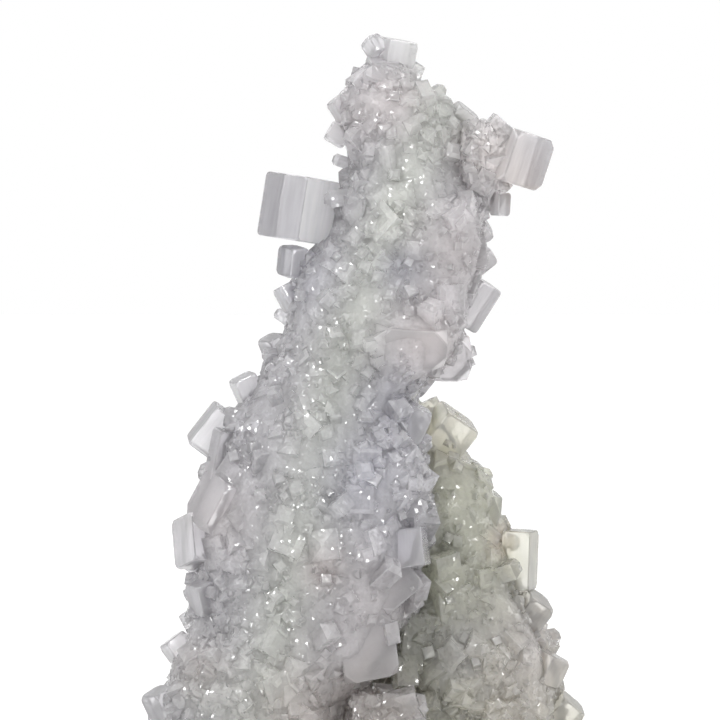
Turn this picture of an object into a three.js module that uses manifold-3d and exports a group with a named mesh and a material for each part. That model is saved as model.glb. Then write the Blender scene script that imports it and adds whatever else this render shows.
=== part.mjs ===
// A standing cluster of apophyllite: a tall leaning spire and a shorter one that grew behind it,
// both crusted with blocky square crystals, and cut off flat at the foot.
// Millimetres. x runs right, y runs away from the viewer, z runs up from the flat foot.
// The places below are measured from between the two spires, and the whole cluster is moved
// at the end so that the origin lies under its middle.
import * as THREE from "three";
import { ConvexGeometry } from "three/addons/geometries/ConvexGeometry.js";
import { mergeVertices } from "three/addons/utils/BufferGeometryUtils.js";
import Module from "manifold-3d";

const wasm = await Module();
wasm.setup();

// Driving sizes
const UP = new THREE.Vector3(0, 0, 1);
const MIDDLE = new THREE.Vector3(-0.8, -0.3, 0); // foot of the line up the middle of the cluster
const SIDE_GAP = 0.35; // clearance where the short spire wraps round the tall one
const GOLDEN_ANGLE = Math.PI * (3 - Math.sqrt(5)); // spreads the small crystals evenly round a spire
const CORNER_SHARE = 0.2; // how much of a crystal's edge its corner faces cut away
const CORNERS_FROM = 4.7; // crystals under this size are left as plain prisms
const FRONT_BAND = 0.2; // half width of the bare band up the tall spire's front, as a share of its half width
const TRIM_SIZE = 200; // block that cuts the foot flat
const FACET_ROUGHNESS = 1.0; // spread of the small ins and outs that break the crust into facets
const FINEST_DETAIL = 0.15; // slivers thinner than this, left where crystals meet, are closed up

const SPIRE_COLOUR = 0xb9bbb8;
const SHORT_SPIRE_COLOUR = 0xa4a698;
const CRYSTAL_ROUGHNESS = 0.18;

// One level of a spire: its height, its left and right edges, its middle in depth and its half depth.
const level = (z, left, right, y, halfDepth) => ({ z, left, right, y, halfDepth });

const TALL_LEVELS = [
  level(0, -28.0, -3.0, -4.2, 12.0),
  level(9.6, -26.8, -2.4, -4.2, 12.0),
  level(14.8, -25.2, 0.8, -4.2, 12.0),
  level(20, -23.0, 4.0, -4.4, 11.8),
  level(25, -22.2, 6.6, -4.6, 11.4),
  level(35.6, -21.0, 6.0, -4.6, 10.6),
  level(43.4, -18.8, 5.8, -4.4, 9.8),
  level(47.3, -16.8, 6.0, -4.2, 9.4),
  level(51.2, -14.4, 7.2, -4.0, 9.0),
  level(55.1, -12.2, 9.4, -3.8, 8.8),
  level(59, -11.2, 11.4, -3.6, 8.8),
  level(62.9, -10.2, 12.6, -3.4, 8.8),
  level(66.8, -8.4, 13.4, -3.2, 8.6),
  level(70.7, -5.4, 13.6, -3.2, 8.4),
  level(77.9, -3.6, 13.6, -3.2, 7.8),
  level(84.4, -4.0, 12.0, -3.2, 7.2),
  level(87.6, -3.2, 10.4, -3.2, 6.2),
  level(90.9, -1.4, 6.4, -3.2, 4.0),
  level(92.6, 0.4, 4.2, -3.2, 2.2),
];
const SHORT_LEVELS = [
  level(0, -2.6, 26.8, 5.4, 11.4),
  level(9.6, -2.2, 25.4, 5.6, 11.0),
  level(14.8, 0.4, 23.4, 5.8, 10.2),
  level(21.3, 1.8, 21.8, 6.0, 9.2),
  level(27.8, 2.4, 19.2, 6.2, 8.4),
  level(34.3, 3.0, 16.8, 6.4, 7.2),
  level(39.5, 3.8, 13.6, 6.6, 5.8),
  level(44.7, 5.4, 11.4, 6.8, 4.0),
  level(47.2, 7.0, 9.6, 6.8, 1.8),
];

// A rounded swelling of the crust: its middle across and up, how far it stands out and how wide it reaches.
const swelling = (x, z, rise, reach, back = false) => ({ x, z, rise, reach, back });

const TALL_SWELLINGS = [
  swelling(11.5, 69, 2.4, 6.0),
  swelling(6.5, 56, 2.6, 5.4),
  swelling(2.5, 40, 2.2, 7.0),
  swelling(1.0, 23, 1.8, 8.0),
  swelling(-6.5, 62, 1.4, 5.0),
  swelling(-14, 43, 1.8, 6.0),
  swelling(-18, 17, 1.6, 8.0),
  swelling(0.6, 85, 1.4, 4.5),
  swelling(4, 76, 2.0, 6.0, true),
  swelling(-4, 58, 2.0, 7.0, true),
  swelling(-14, 38, 2.2, 8.0, true),
  swelling(-20, 20, 2.0, 8.0, true),
];
const SHORT_SWELLINGS = [
  swelling(14, 16, 2.2, 7.0),
  swelling(17, 25, 1.0, 5.0),
  swelling(12, 36, 1.0, 5.0),
  swelling(20, 12, 1.8, 8.0, true),
  swelling(9, 26, 1.8, 7.0, true),
];

// Knobs that make the crust lumpy all over: how many, how far they stand out at most, and their reach.
const TALL_KNOBS = { count: 90, rise: 1.5, smallest: 1.8, largest: 4.2, seed: 11 };
const SHORT_KNOBS = { count: 44, rise: 1.4, smallest: 1.8, largest: 3.8, seed: 12 };

// A blocky crystal: its middle across and up, its width, depth and length, and its lean in degrees: tipped
// towards the viewer, leaned to the right, and turned about its own length before both. out moves it off the
// spire's skin, y states its depth where the skin can't, and cut is the share that its corner faces take.
const block = (x, z, width, depth, length, lean, more) => ({ x, z, width, depth, length, lean, ...more });

const TALL_BLOCKS = [
  block(-9.2, 73.4, 7.0, 7.0, 8.3, [0, 9, -38], { y: -5.4, cut: 0.07 }), // the large clear one on the left
  // The large one on the right shoulder
  block(18.4, 80.2, 7.0, 6.6, 6.8, [4, 18, 42], { y: -6.0, cut: 0.16 }),
  // The rough one that joins it to the spire
  block(15.2, 80.2, 7.2, 6.4, 8.2, [8, 12, 16], { y: -6.8, cut: 0.3 }),
  block(3.4, 93.6, 4.0, 4.2, 3.4, [6, 10, 24], { y: -3.4, cut: 0.14 }), // the crown
  block(0.5, 94.4, 2.0, 2.4, 2.4, [-14, -32, 40], { y: -3.8 }),
  block(1.6, 91.0, 3.8, 4.4, 3.6, [18, 4, 12], { y: -4.2 }),
  block(5.4, 86.8, 4.8, 4.4, 4.6, [38, 8, 30], { out: -1.8 }),
  block(-3.2, 86.4, 2.6, 2.6, 3.0, [12, -34, 20]),
  block(-4.2, 83.0, 2.4, 2.4, 2.8, [4, -60, 10]),
  block(11.8, 85.0, 3.4, 3.4, 3.2, [10, 40, 15]),
  block(-10.0, 66.6, 2.8, 3.2, 3.8, [10, 6, 40], { y: -4.6 }),
  block(-10.4, 62.0, 2.4, 3.0, 3.4, [0, -28, 20]),
  block(-12.4, 55.4, 2.6, 3.0, 3.2, [16, -20, 35]),
  block(-15.8, 49.8, 3.2, 3.6, 4.2, [10, -24, 15]),
  block(-20.2, 44.6, 4.2, 4.8, 6.0, [4, 38, 12], { y: -4.2, cut: 0.1 }), // the striated one that leans out
  block(-19.2, 41.8, 3.0, 3.6, 7.2, [6, 12, 24], { y: -8.6 }), // the upright column before it
  block(-18.8, 35.4, 6.6, 7.0, 7.6, [8, 28, 34], { y: -8.6 }),
  block(-21.8, 30.6, 5.2, 6.2, 6.4, [-16, -6, 30], { y: -6.4, cut: 0.12 }),
  block(-20.8, 23.6, 2.8, 3.6, 4.0, [10, -12, 30]),
  block(-24.8, 16.2, 3.2, 3.6, 3.6, [0, -36, 24]),
  block(-26.4, 9.6, 3.4, 4.0, 3.8, [8, -24, 38]),
  // The square one facing the viewer
  block(4.7, 30.0, 4.9, 6.0, 4.9, [-6, -7, -8], { y: -10.4, cut: 0.08 }),
  // The broad smooth one at lower right
  block(0.2, 17.8, 7.8, 8.0, 9.0, [4, -9, 10], { out: -2.6, cut: 0.2 }),
  block(3.6, 25.4, 6.8, 6.0, 6.4, [-6, -40, 12], { out: -2.0, cut: 0.2 }),
  block(14.6, 76.0, 4.4, 4.4, 4.4, [10, 30, 20]),
  block(16.8, 74.0, 1.9, 2.2, 3.0, [0, 3, 30], { y: -5.4 }), // the small striated one under the shoulder
  block(14.0, 70.4, 2.6, 3.2, 3.2, [10, 62, 20]),
  block(14.2, 67.0, 2.6, 3.2, 3.2, [-8, 52, 40]),
  block(13.4, 61.2, 3.4, 4.0, 6.4, [4, 32, 30], { cut: 0.12 }),
  // The rounded end of the right ledge
  block(9.8, 54.2, 6.4, 6.0, 6.4, [4, 2, 14], { out: -1.4, cut: 0.36 }),
  block(5.0, 56.2, 10.0, 6.0, 5.8, [16, 6, 8], { out: -2.6, cut: 0.36 }), // the ledge
  block(1.2, 56.6, 5.2, 5.0, 4.0, [22, -24, 20], { out: -1.5 }),
  block(10.8, 68.0, 6.2, 5.0, 7.0, [10, 16, 30], { out: -2.5, cut: 0.3 }),
  block(2.0, 43.4, 5.2, 5.0, 5.0, [24, 30, 44], { out: -2.2 }),
  block(5.0, 46.0, 4.4, 4.4, 4.8, [6, 24, 12]),
  block(-2.4, 35.0, 4.6, 4.6, 5.4, [14, -28, 40], { out: -2.3 }),
  block(-14.4, 41.4, 4.8, 4.8, 5.2, [28, 8, 24], { out: -2.2 }),
  block(-16.4, 12.4, 5.6, 5.6, 5.0, [30, -24, 40], { out: -2.4 }),
  block(-8.2, 8.4, 4.8, 5.4, 4.8, [20, 34, 10], { out: -1.8 }),
  // The one under it that reaches the foot
  block(1.6, 6.0, 9.6, 7.6, 10.8, [-4, 2, 8], { y: -9.2, cut: 0.2 }),
  block(-5.0, 62.0, 4.4, 4.4, 4.2, [22, -16, 8], { out: -2.0 }),
  block(1.6, 80.0, 4.6, 5.0, 4.8, [16, -12, 44], { out: -2.3 }),
  block(9.0, 78.0, 7.0, 6.6, 7.4, [12, -22, 30], { out: -0.6, back: true }),
  block(-2.6, 66.0, 6.0, 6.4, 6.8, [-20, 26, 12], { out: -0.6, back: true }),
  block(-9.4, 47.0, 7.6, 7.0, 7.8, [10, 18, 38], { out: -0.8, back: true }),
  block(-17.6, 27.0, 7.0, 7.4, 8.4, [-14, -24, 20], { out: -0.8, back: true }),
  block(-21.0, 9.0, 6.0, 6.0, 6.4, [8, 30, 44], { out: -0.6, back: true }),
];
const SHORT_BLOCKS = [
  // The clear upright one on the right
  block(19.8, 27.2, 3.9, 4.2, 7.8, [0, 2, -20], { y: 2.6, cut: 0.16 }),
  block(10.2, 43.8, 6.0, 5.8, 6.4, [8, 38, 20], { y: 4.6, cut: 0.12 }), // the cream one at the top
  block(10.6, 38.6, 8.0, 6.4, 5.6, [6, 24, 20], { y: 4.8, cut: 0.3 }),
  block(12.4, 33.6, 8.4, 7.0, 8.0, [6, 24, 20], { y: 4.2, cut: 0.3 }),
  block(8.2, 30.0, 8.6, 6.0, 11.0, [4, 8, 14], { out: -3.0, cut: 0.25 }),
  block(10.8, 22.8, 8.4, 6.4, 9.0, [0, -6, 30], { out: -3.2, cut: 0.25 }),
  block(14.6, 15.8, 6.2, 6.4, 5.6, [26, 32, 10], { out: -2.3 }),
  block(6.6, 16.0, 7.0, 6.4, 10.0, [-2, 6, 12], { y: -1.8, cut: 0.2 }),
  block(21.2, 20.6, 4.0, 4.6, 4.2, [10, 38, 22]),
  block(23.0, 13.0, 3.6, 4.0, 4.0, [0, 24, 40]),
  block(25.2, 7.0, 3.8, 4.2, 3.8, [8, 42, 12]),
  block(17.0, 8.0, 6.4, 6.0, 5.6, [18, 12, 30], { out: -2.2 }),
  block(6.6, 8.2, 5.6, 5.6, 5.4, [24, -22, 14], { out: -1.8 }),
  block(14.0, 28.0, 6.4, 6.0, 7.2, [16, -18, 34], { out: -0.6, back: true }),
  block(20.0, 14.0, 6.8, 6.6, 7.0, [-12, 26, 16], { out: -0.6, back: true }),
];

// How thickly the small crystals grow over a spire, and between which sizes.
const TALL_SCATTER = { count: 96, smallest: 1.7, largest: 3.4, seed: 1 };
const SHORT_SCATTER = { count: 46, smallest: 1.6, largest: 3.2, seed: 2 };

// Skin of a spire: rows up it and columns round it.
const TALL_GRID = { rows: 28, columns: 22 };
const SHORT_GRID = { rows: 14, columns: 18 };

// The same unlike share from 0 to 1 for the same two whole numbers.
function share(index, seed) {
  const wave = Math.sin(index * 12.9898 + seed * 78.233) * 43758.5453;
  return wave - Math.floor(wave);
}

// Middle and half sizes of a spire at a height, straight between its levels.
function sectionAt(levels, z) {
  const height = THREE.MathUtils.clamp(z, levels[0].z, levels.at(-1).z);
  const next = Math.max(1, levels.findIndex((l) => l.z >= height));
  const [low, high] = [levels[next - 1], levels[next]];
  const t = (height - low.z) / (high.z - low.z);
  const between = (key) => THREE.MathUtils.lerp(low[key], high[key], t);
  return {
    x: (between("left") + between("right")) / 2,
    y: between("y"),
    halfWidth: (between("right") - between("left")) / 2,
    halfDepth: between("halfDepth"),
  };
}

// The angle round a spire at which its skin lies over x, on the viewer's side or on the far one.
function angleOver(section, x, back) {
  const across = THREE.MathUtils.clamp((x - section.x) / section.halfWidth, -1, 1);
  return back ? Math.acos(across) : -Math.acos(across);
}

// A point on the plain skin, before ripples and swellings.
function plainSkin(levels, angle, z) {
  const s = sectionAt(levels, z);
  return new THREE.Vector3(s.x + s.halfWidth * Math.cos(angle), s.y + s.halfDepth * Math.sin(angle), z);
}

// How far the skin stands out from the plain one at a point.
function relief(spire, point) {
  return spire.bumps.reduce(
    (sum, b) => sum + b.rise * Math.exp(-point.distanceToSquared(b.centre) / b.reach ** 2),
    0,
  );
}

// A point on the finished skin, held out by extra.
function skin(spire, angle, z, extra = 0) {
  const plain = plainSkin(spire.levels, angle, z);
  const out = relief(spire, plain) + extra;
  return plain.add(new THREE.Vector3(Math.cos(angle) * out, Math.sin(angle) * out, 0));
}

// A closed surface as a solid: its vertices are shared by place alone.
function solidOf(geometry) {
  const bare = geometry.clone();
  bare.deleteAttribute("normal");
  bare.deleteAttribute("uv");
  const merged = mergeVertices(bare, 1e-4);
  return new wasm.Manifold(
    new wasm.Mesh({
      numProp: 3,
      vertProperties: new Float32Array(merged.attributes.position.array),
      triVerts: new Uint32Array(merged.index.array),
    }),
  );
}

// The body of a spire: an upright cylinder whose rows and columns are moved out to the skin.
function bodySolid(spire, extra = 0) {
  const { rows, columns } = spire.grid;
  const top = spire.levels.at(-1).z;
  const geometry = new THREE.CylinderGeometry(1, 1, top, columns, rows);
  geometry.rotateX(Math.PI / 2);
  geometry.translate(0, 0, top / 2);
  const place = geometry.attributes.position;
  for (let i = 0; i < place.count; i++) {
    const [x, y, z] = [place.getX(i), place.getY(i), place.getZ(i)];
    const middle = sectionAt(spire.levels, z);
    const onAxis = Math.hypot(x, y) < 0.5;
    const column = Math.round(50 * x) + 137 * Math.round(50 * y);
    const rough = (share(column, Math.round(10 * z)) - 0.5) * FACET_ROUGHNESS;
    const moved = onAxis
      ? new THREE.Vector3(middle.x, middle.y, z)
      : skin(spire, Math.atan2(y, x), z, rough + extra);
    place.setXYZ(i, moved.x, moved.y, moved.z);
  }
  return solidOf(geometry);
}

// A square prism; from a few millimetres up it has a small pyramid face across each corner.
function blockGeometry(width, depth, length, share = CORNER_SHARE) {
  const least = Math.min(width, depth, length);
  if (least < CORNERS_FROM) return new THREE.BoxGeometry(width, depth, length);
  const cut = share * least;
  const points = [];
  for (const x of [-0.5, 0.5])
    for (const y of [-0.5, 0.5])
      for (const z of [-0.5, 0.5]) {
        const corner = new THREE.Vector3(x * width, y * depth, z * length);
        points.push(corner.clone().setX(corner.x - 2 * x * cut));
        points.push(corner.clone().setY(corner.y - 2 * y * cut));
        points.push(corner.clone().setZ(corner.z - 2 * z * cut));
      }
  return new ConvexGeometry(points);
}

// A small crystal of the crust: a square prism that narrows a little to its flat end.
function smallGeometry(size) {
  const geometry = new THREE.CylinderGeometry(size * 0.48, size * 0.66, size * 1.5, 4);
  return geometry.rotateX(Math.PI / 2);
}

// Where a block sits: on the skin, or at its own depth.
function blockPlace(spire, b) {
  const section = sectionAt(spire.levels, b.z);
  const angle = angleOver(section, b.x, b.back);
  const onSkin = skin(spire, angle, Math.min(b.z, spire.levels.at(-1).z), b.out ?? 0);
  const beyond = Math.abs(b.x - section.x) > section.halfWidth;
  return new THREE.Vector3(beyond || b.y !== undefined ? b.x : onSkin.x, b.y ?? onSkin.y, b.z);
}

function placedBlock(spire, b, extra = 0) {
  const geometry = blockGeometry(b.width + extra, b.depth + extra, b.length + extra, b.cut);
  const [x, y, z] = b.lean.map(THREE.MathUtils.degToRad);
  const turn = new THREE.Quaternion().setFromEuler(new THREE.Euler(x, y, z, "YXZ"));
  return geometry.applyMatrix4(
    new THREE.Matrix4().compose(blockPlace(spire, b), turn, new THREE.Vector3(1, 1, 1)),
  );
}

// Small crystals spread evenly up and round a spire, clear of its blocks and of the bare band.
function scatter(spire) {
  const { count, smallest, largest, seed } = spire.scatter;
  const top = spire.levels.at(-1).z;
  const found = [];
  for (let i = 0; i < count; i++) {
    const z = top * ((i + 0.5) / count);
    const angle = i * GOLDEN_ANGLE + seed;
    const size = THREE.MathUtils.lerp(smallest, largest, share(i, seed) ** 2);
    const place = skin(spire, angle, z, size * 0.12);
    const inBand = spire.bare && Math.sin(angle) < 0 && Math.abs(Math.cos(angle)) < FRONT_BAND;
    const onBlock = spire.blocks.some(
      (b) => blockPlace(spire, b).distanceTo(place) < 0.5 * (Math.min(b.width, b.length) + size),
    );
    if (inBand || onBlock) continue;
    const tilt = (n) => (share(i, seed + n) - 0.5) * 1.1;
    const outward = new THREE.Vector3(Math.cos(angle) + tilt(3), Math.sin(angle) + tilt(5), 0.25 + tilt(7));
    const turn = new THREE.Quaternion().setFromUnitVectors(UP, outward.normalize());
    const spin = new THREE.Quaternion().setFromAxisAngle(UP, share(i, seed + 9) * Math.PI);
    found.push({ place, size, turn: turn.multiply(spin) });
  }
  return found;
}

function placedSmall(crystal, extra = 0) {
  return smallGeometry(crystal.size + extra).applyMatrix4(
    new THREE.Matrix4().compose(crystal.place, crystal.turn, new THREE.Vector3(1, 1, 1)),
  );
}

// Knobs spread evenly up and round a spire; every third one is a hollow.
function knobs({ levels, knobs: { count, rise, smallest, largest, seed } }) {
  return Array.from({ length: count }, (_, i) => ({
    centre: plainSkin(levels, i * GOLDEN_ANGLE + seed, levels.at(-1).z * ((i + 0.5) / count)),
    rise: rise * (i % 3 === 0 ? -0.7 : 0.3 + 0.7 * share(i, seed)),
    reach: THREE.MathUtils.lerp(smallest, largest, share(i, seed + 1)),
  }));
}

// A spire with the bumps of its crust in place.
function makeSpire(facts) {
  const swellings = facts.swellings.map((s) => ({
    ...s,
    centre: plainSkin(facts.levels, angleOver(sectionAt(facts.levels, s.z), s.x, s.back), s.z),
  }));
  return { ...facts, bumps: [...swellings, ...knobs(facts)] };
}

// Body, blocks and small crystals joined in one solid, each grown by extra.
function grownSolid(spire, extra = 0) {
  const blocks = spire.blocks.map((b) => placedBlock(spire, b, 2 * extra));
  const smalls = scatter(spire).map((c) => placedSmall(c, 2 * extra));
  return [...blocks, ...smalls].reduce(
    (solid, geometry) => solid.add(solidOf(geometry)),
    bodySolid(spire, extra),
  );
}

// What reaches below the foot is cut off flat.
function footTrim() {
  return solidOf(new THREE.BoxGeometry(TRIM_SIZE, TRIM_SIZE, TRIM_SIZE).translate(0, 0, -TRIM_SIZE / 2));
}

// The largest piece of a solid, without the chips that a cut leaves loose.
function largestPiece(solid) {
  return solid.decompose().reduce((best, piece) => (piece.volume() > best.volume() ? piece : best));
}

function meshOf(solid, name, colour) {
  const surface = solid.getMesh();
  const geometry = new THREE.BufferGeometry()
    .setAttribute("position", new THREE.BufferAttribute(surface.vertProperties, 3))
    .setIndex(new THREE.BufferAttribute(surface.triVerts, 1));
  geometry.computeVertexNormals();
  const material = new THREE.MeshStandardMaterial({
    color: colour,
    roughness: CRYSTAL_ROUGHNESS,
    metalness: 0,
    flatShading: true,
  });
  const mesh = new THREE.Mesh(geometry, material);
  mesh.name = name;
  return mesh;
}

const tall = makeSpire({
  levels: TALL_LEVELS,
  swellings: TALL_SWELLINGS,
  knobs: TALL_KNOBS,
  blocks: TALL_BLOCKS,
  scatter: TALL_SCATTER,
  grid: TALL_GRID,
  bare: true,
});
const short = makeSpire({
  levels: SHORT_LEVELS,
  swellings: SHORT_SWELLINGS,
  knobs: SHORT_KNOBS,
  blocks: SHORT_BLOCKS,
  scatter: SHORT_SCATTER,
  grid: SHORT_GRID,
  bare: false,
});

const tallSolid = largestPiece(grownSolid(tall).subtract(footTrim())).simplify(FINEST_DETAIL);
const shortSolid = largestPiece(
  grownSolid(short).subtract(grownSolid(tall, SIDE_GAP)).subtract(footTrim()),
).simplify(FINEST_DETAIL);

const cluster = new THREE.Group();
cluster.position.copy(MIDDLE).negate();
cluster.add(meshOf(tallSolid, "tall_spire", SPIRE_COLOUR));
cluster.add(meshOf(shortSolid, "short_spire", SHORT_SPIRE_COLOUR));

export default cluster;
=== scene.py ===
"""A standing cluster of apophyllite: two milky spires under a crust of clear square crystals.

The places and sizes of the spires and their crystals are in millimetres, as in the part's source,
and turn into metres only where a mesh is made."""

import math
from dataclasses import dataclass
from itertools import product

import bmesh
import bpy
import numpy as np
from mathutils import Euler, Matrix, Vector, noise


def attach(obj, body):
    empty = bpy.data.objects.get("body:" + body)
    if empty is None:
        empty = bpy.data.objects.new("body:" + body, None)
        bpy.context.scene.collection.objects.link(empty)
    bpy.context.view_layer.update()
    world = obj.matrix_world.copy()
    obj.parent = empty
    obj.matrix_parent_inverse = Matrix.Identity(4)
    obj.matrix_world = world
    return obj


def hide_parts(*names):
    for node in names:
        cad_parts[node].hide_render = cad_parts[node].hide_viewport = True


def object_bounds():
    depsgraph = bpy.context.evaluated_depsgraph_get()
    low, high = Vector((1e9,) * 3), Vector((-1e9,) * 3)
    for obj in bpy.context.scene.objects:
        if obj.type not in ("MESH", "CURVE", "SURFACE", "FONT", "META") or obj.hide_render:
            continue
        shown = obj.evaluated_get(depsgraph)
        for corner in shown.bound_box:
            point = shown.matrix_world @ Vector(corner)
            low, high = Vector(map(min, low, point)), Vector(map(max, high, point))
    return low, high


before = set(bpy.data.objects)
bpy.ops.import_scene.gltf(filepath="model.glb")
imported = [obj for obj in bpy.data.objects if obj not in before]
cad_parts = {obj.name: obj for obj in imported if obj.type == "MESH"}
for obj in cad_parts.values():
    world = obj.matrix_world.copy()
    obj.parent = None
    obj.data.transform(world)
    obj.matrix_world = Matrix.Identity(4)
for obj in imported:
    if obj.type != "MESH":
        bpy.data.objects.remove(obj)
CAD_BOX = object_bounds()

# Shared with the part's source
MM = 0.001
MIDDLE = np.array([-0.8, -0.3, 0.0])  # foot of the line up the middle of the cluster
BOX_LOW, BOX_HIGH = (np.array(corner) / MM + MIDDLE for corner in CAD_BOX)
GOLDEN_ANGLE = math.pi * (3 - math.sqrt(5))
CORNER_SHARE = 0.2  # how much of a crystal's edge its corner faces cut away
FRONT_BAND = 0.2  # half width of the band that the small crystals keep off, as a share of the spire's
HOLLOW = -0.7  # every third knob is a hollow
LEAST_KNOB = 0.3
SMALL_OUT = 0.12  # how far the middle of a small crystal stands out of the skin, as a share of its size
SMALL_TILT, SMALL_RISE = 1.1, 0.25  # how far the small crystals lean by chance, and all of them upwards

# Kinds of crystal. The druse grows on the smooth and the milky ones and on the ground.
CLEAR, GLINT, SMALL, SMOOTH, MILKY, FINE, GROUND = 1.0, 0.9, 0.8, 0.7, 0.5, 0.45, 0.0
DRESSED = (CLEAR, GLINT, SMOOTH)  # the kinds with materials of their own, which follow the crust's

# Height, left edge, right edge, middle in depth, half depth
TALL_LEVELS = [
    (0, -28.0, -3.0, -4.2, 12.0),
    (9.6, -26.8, -2.4, -4.2, 12.0),
    (14.8, -25.2, 0.8, -4.2, 12.0),
    (20, -23.0, 4.0, -4.4, 11.8),
    (25, -22.2, 6.6, -4.6, 11.4),
    (35.6, -21.0, 6.0, -4.6, 10.6),
    (43.4, -18.8, 5.8, -4.4, 9.8),
    (47.3, -16.8, 6.0, -4.2, 9.4),
    (51.2, -14.4, 7.2, -4.0, 9.0),
    (55.1, -12.2, 9.4, -3.8, 8.8),
    (59, -11.2, 11.4, -3.6, 8.8),
    (62.9, -10.2, 12.6, -3.4, 8.8),
    (66.8, -8.4, 13.4, -3.2, 8.6),
    (70.7, -5.4, 13.6, -3.2, 8.4),
    (77.9, -3.6, 13.6, -3.2, 7.8),
    (84.4, -4.0, 12.0, -3.2, 7.2),
    (87.6, -3.2, 10.4, -3.2, 6.2),
    (90.9, -1.4, 6.4, -3.2, 4.0),
    (92.6, 0.4, 4.2, -3.2, 2.2),
]
SHORT_LEVELS = [
    (0, -2.6, 26.8, 5.4, 11.4),
    (9.6, -2.2, 25.4, 5.6, 11.0),
    (14.8, 0.4, 23.4, 5.8, 10.2),
    (21.3, 1.8, 21.8, 6.0, 9.2),
    (27.8, 2.4, 19.2, 6.2, 8.4),
    (34.3, 3.0, 16.8, 6.4, 7.2),
    (39.5, 3.8, 13.6, 6.6, 5.8),
    (44.7, 5.4, 11.4, 6.8, 4.0),
    (47.2, 7.0, 9.6, 6.8, 1.8),
]

# Middle across and up, how far it stands out, how wide it reaches, and whether it is on the far side
TALL_SWELLINGS = [
    (11.5, 69, 2.4, 6.0, False),
    (6.5, 56, 2.6, 5.4, False),
    (2.5, 40, 2.2, 7.0, False),
    (1.0, 23, 1.8, 8.0, False),
    (-6.5, 62, 1.4, 5.0, False),
    (-14, 43, 1.8, 6.0, False),
    (-18, 17, 1.6, 8.0, False),
    (0.6, 85, 1.4, 4.5, False),
    (4, 76, 2.0, 6.0, True),
    (-4, 58, 2.0, 7.0, True),
    (-14, 38, 2.2, 8.0, True),
    (-20, 20, 2.0, 8.0, True),
]
SHORT_SWELLINGS = [
    (14, 16, 2.2, 7.0, False),
    (17, 25, 1.0, 5.0, False),
    (12, 36, 1.0, 5.0, False),
    (20, 12, 1.8, 8.0, True),
    (9, 26, 1.8, 7.0, True),
]


@dataclass
class Block:
    """A blocky crystal, as in the part's source, with its kind and, on some, painted light and shade on its
    faces.
    """

    x: float
    z: float
    width: float
    depth: float
    length: float
    lean: tuple  # tipped, leaned and turned, in degrees
    out: float = 0.0  # how far its middle stands out of the skin
    y: float = None  # its place in depth, where that isn't on the skin
    cut: float = CORNER_SHARE
    back: bool = False  # on the far side
    clear: float = CLEAR  # its kind
    painted_light_face: tuple = None  # the direction of its face with painted light; its other faces get painted shade then


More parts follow.
